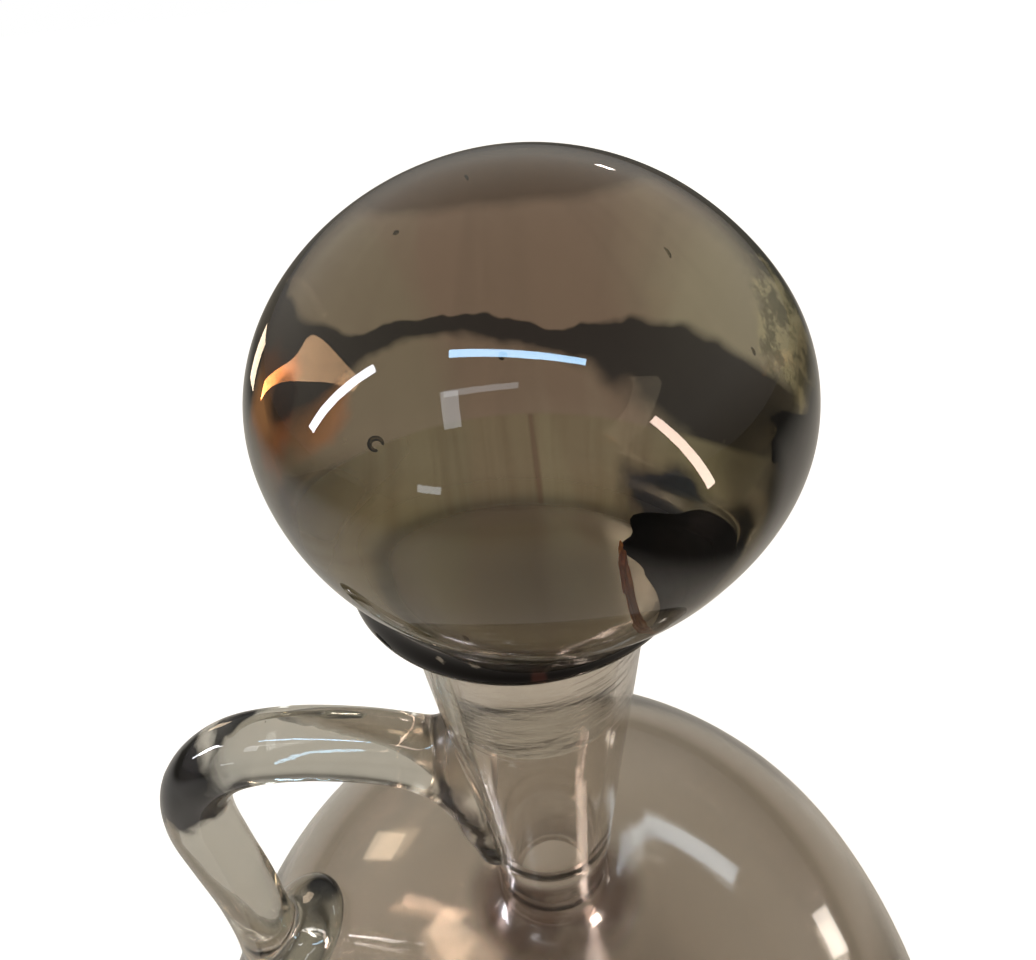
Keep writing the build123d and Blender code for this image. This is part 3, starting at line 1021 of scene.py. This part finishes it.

# %% [markdown]
# Clear things are only as good as what stands around them. On a white floor in a
# white room a glass outline turns pale and is lost, so in a studio the glass stands
# among grey cards and the backdrop is lit apart. Light Path does the same: the floor
# and the room look white when seen straight on. To light that has been through the
# glass or off it, the room is a warm grey, darkest at the horizon and dimmer again
# overhead, and the floor is darker far off and in front on the right, which is
# painted shade.

# %% Floor and room
FLOOR_R = 12.0
PALE_GREY, GLOW, NO_GLOW = (0.80, 0.79, 0.77, 1), (0.75, 0.75, 0.75, 1), (0, 0, 0, 1)
FAR_SHADE_GREY, FAR_RIGHT_SHADE_GREY = (0.22, 0.21, 0.20, 1), (0.08, 0.079, 0.077, 1)
FRONT_RIGHT_SHADE_GREY = (0.05, 0.05, 0.05, 1)
ROOM_BY_HEIGHT = [
    (0.0, (0.20, 0.19, 0.18, 1)), (0.30, (0.52, 0.50, 0.45, 1)),
    (0.60, (0.56, 0.53, 0.45, 1)), (1.0, (0.40, 0.37, 0.32, 1)),
]


def seen_straight(recipe):
    """1 for what is seen directly, 0 for what is seen in or through the glass."""
    return recipe.node("ShaderNodeLightPath")


def floor_material():
    recipe = Recipe(bpy.data.materials.new("pale_floor"))
    _, (x, y, _) = recipe.place()
    # Painted shade: the floor darkens far off, seen only in and through the glass.
    far_shade = recipe.step((x * x + y * y) ** 0.5, 0.45, 1.3) * (1 - seen_straight(recipe))
    to_right = recipe.step(x, 0.0, 0.6)
    grey = recipe.mix(far_shade, PALE_GREY, recipe.mix(to_right, FAR_SHADE_GREY, FAR_RIGHT_SHADE_GREY))
    # Painted shade in front on the right, seen only in and through the glass.
    front_right_shade = recipe.step(x, 0.14, 0.26) * (1 - recipe.step(y, 0.0, 0.12)) * (1 - seen_straight(recipe))
    grey = recipe.mix(front_right_shade, grey, FRONT_RIGHT_SHADE_GREY)
    surface = recipe.node("ShaderNodeBsdfPrincipled", None, {
        "Base Color": grey, "Roughness": 0.7, "Emission Strength": 1.0,
        "Emission Color": recipe.mix(seen_straight(recipe), NO_GLOW, GLOW)})
    recipe.node("ShaderNodeOutputMaterial", None, {"Surface": surface})
    return recipe.owner


floor_work = bmesh.new()
bmesh.ops.create_circle(floor_work, cap_ends=True, segments=96, radius=FLOOR_R)
floor_mesh = bpy.data.meshes.new("floor")
floor_work.to_mesh(floor_mesh)
floor_work.free()
floor = add("floor", floor_mesh)
floor.data.materials.append(floor_material())


def room_light():
    world = bpy.data.worlds.new("studio")
    bpy.context.scene.world = world
    recipe = Recipe(world)
    direction = recipe.node("ShaderNodeTexCoord", out="Generated")
    parts = recipe.node("ShaderNodeSeparateXYZ", sockets={0: direction}).socket.node
    height = Number(recipe, parts.outputs[2])
    grey = recipe.node("ShaderNodeValToRGB", {"stops": ROOM_BY_HEIGHT}, {0: height})
    color = recipe.mix(seen_straight(recipe), grey, (1.0, 1.0, 1.0, 1))
    back = recipe.node("ShaderNodeBackground", None, {"Color": color, "Strength": 1.0})
    recipe.node("ShaderNodeOutputWorld", None, {"Surface": back})


room_light()

# %% [markdown]
# Long narrow lamps read as crisp bright dashes on a round surface, much better
# than one big panel. Each is placed from a point in the ball or on the globe, by the
# directions in which its two ends should be found, and turned to face that point.

# %% Lamps
def strip(name, origin, start, end, away, width, radiance, color):
    """Narrow lamp whose two ends lie in two directions from a point, at a distance, and faces it."""
    origin = Vector(origin)
    first = origin + Vector(start).normalized() * away
    last = origin + Vector(end).normalized() * away
    data = bpy.data.lights.new(name, "AREA")
    data.shape, data.size, data.size_y = "RECTANGLE", (last - first).length, width
    data.color = color
    data.energy = radiance * math.pi * data.size * width
    lamp = bpy.data.objects.new(name, data)
    bpy.context.scene.collection.objects.link(lamp)
    middle = (first + last) / 2
    towards = (origin - middle).normalized()
    along = (last - first).normalized()
    across = (-towards).cross(along).normalized()
    turn = Matrix((along, across, along.cross(across))).transposed()
    lamp.matrix_world = Matrix.Translation(middle) @ turn.to_4x4()
    lamp.visible_camera = False
    return lamp


# %% [markdown]
# The table lists each lamp's origin, the directions of its two ends, how far away
# it is, its width, its brightness and its colour. The flask needs some of its own,
# because a lamp placed for the globe would put a second dash on the ball. Light
# linking gives them to the flask and the handle only, and keeps the cool tube off
# the flask.

# %% Lamp table
on_ball = ball_centre
on_globe_left, on_globe_right = (-0.0365, 0.014, 0.1326), (0.030, 0.002, 0.136)
on_globe_side, on_shoulder = (0.055, -0.008, 0.123), (0.020, -0.018, 0.135)
SKY, DAYLIGHT, WARM, LILAC = (0.42, 0.70, 1.0), (0.9, 0.95, 1.0), (1.0, 0.80, 0.68), (0.95, 0.92, 1.0)
LAMPS = {
    "cool_tube": (on_ball, (-0.42, -0.31, 0.85), (0.31, -0.47, 0.83), 1.2, 0.055, 24, SKY),
    "white_tube": (on_ball, (-0.99, -0.01, 0.12), (-0.76, -0.15, 0.63), 1.0, 0.045, 26, (0.92, 0.92, 1.0)),
    "warm_tube": (on_ball, (0.64, -0.65, 0.41), (0.83, -0.51, -0.20), 0.9, 0.055, 22, (1.0, 0.74, 0.62)),
    "back_spot": (on_ball, (0.28, 0.90, 0.32), (0.33, 0.88, 0.34), 1.2, 0.04, 18, (1.0, 0.86, 0.76)),
    "back_lamp": (on_globe_left, (-0.72, 0.66, 0.26), (-0.62, 0.64, 0.46), 0.26, 0.04, 5, (1.0, 0.78, 0.56)),
    "window_upper": (on_ball, (-0.49, -0.50, 0.71), (-0.08, -0.60, 0.80), 1.2, 0.05, 3.0, DAYLIGHT),
    "window_side": (on_ball, (-0.46, -0.50, 0.73), (-0.47, -0.68, 0.56), 1.2, 0.13, 4.0, DAYLIGHT),
    "window_lower": (on_ball, (-0.68, -0.72, 0.12), (-0.56, -0.82, 0.13), 1.2, 0.07, 5.0, DAYLIGHT),
    "side_lamp": (on_globe_side, (0.98, 0.24, -0.02), (0.97, 0.18, 0.14), 0.30, 0.05, 9, (1.0, 0.90, 0.80)),
    "back_tube": (on_globe_right, (0.41, 0.64, 0.65), (0.79, 0.36, 0.50), 0.50, 0.06, 4.5, (0.80, 0.90, 1.0)),
    "warm_line": (on_shoulder, (0.74, -0.56, 0.37), (0.58, -0.38, 0.72), 1.2, 0.24, 70, WARM),
    "warm_ribbon": (on_shoulder, (0.53, -0.46, 0.72), (0.13, -0.11, 0.98), 1.2, 0.16, 8, (1.0, 0.80, 0.70)),
    "white_line": (on_ball, (-0.97, -0.07, 0.25), (-0.80, -0.07, 0.60), 1.2, 0.10, 60, LILAC),
}
FLASK_LAMPS = ("side_lamp", "back_tube", "warm_line", "warm_ribbon", "white_line")


def lit_things(name, things):
    """A collection for light linking, which lists what a lamp shines on."""
    group = bpy.data.collections.new(name)
    for thing in things:
        group.objects.link(thing)
    return group


flask_only = lit_things("lit_flask_only", (flask_shell, handle))
off_the_flask = lit_things("lit_ball_and_handle", (ball_stopper, handle))
lamps = {name: strip(name, *row) for name, row in LAMPS.items()}
for name in FLASK_LAMPS:
    lamps[name].light_linking.receiver_collection = flask_only
lamps["cool_tube"].light_linking.receiver_collection = off_the_flask
print("lamps", len(lamps))

# %% [markdown]
# The colours above were chosen for plain display, so the view transform is the plain
# one. The last measure compares the box round the shown pieces with the CAD's box.

# %% Colour
bpy.context.scene.view_settings.view_transform = "Standard"
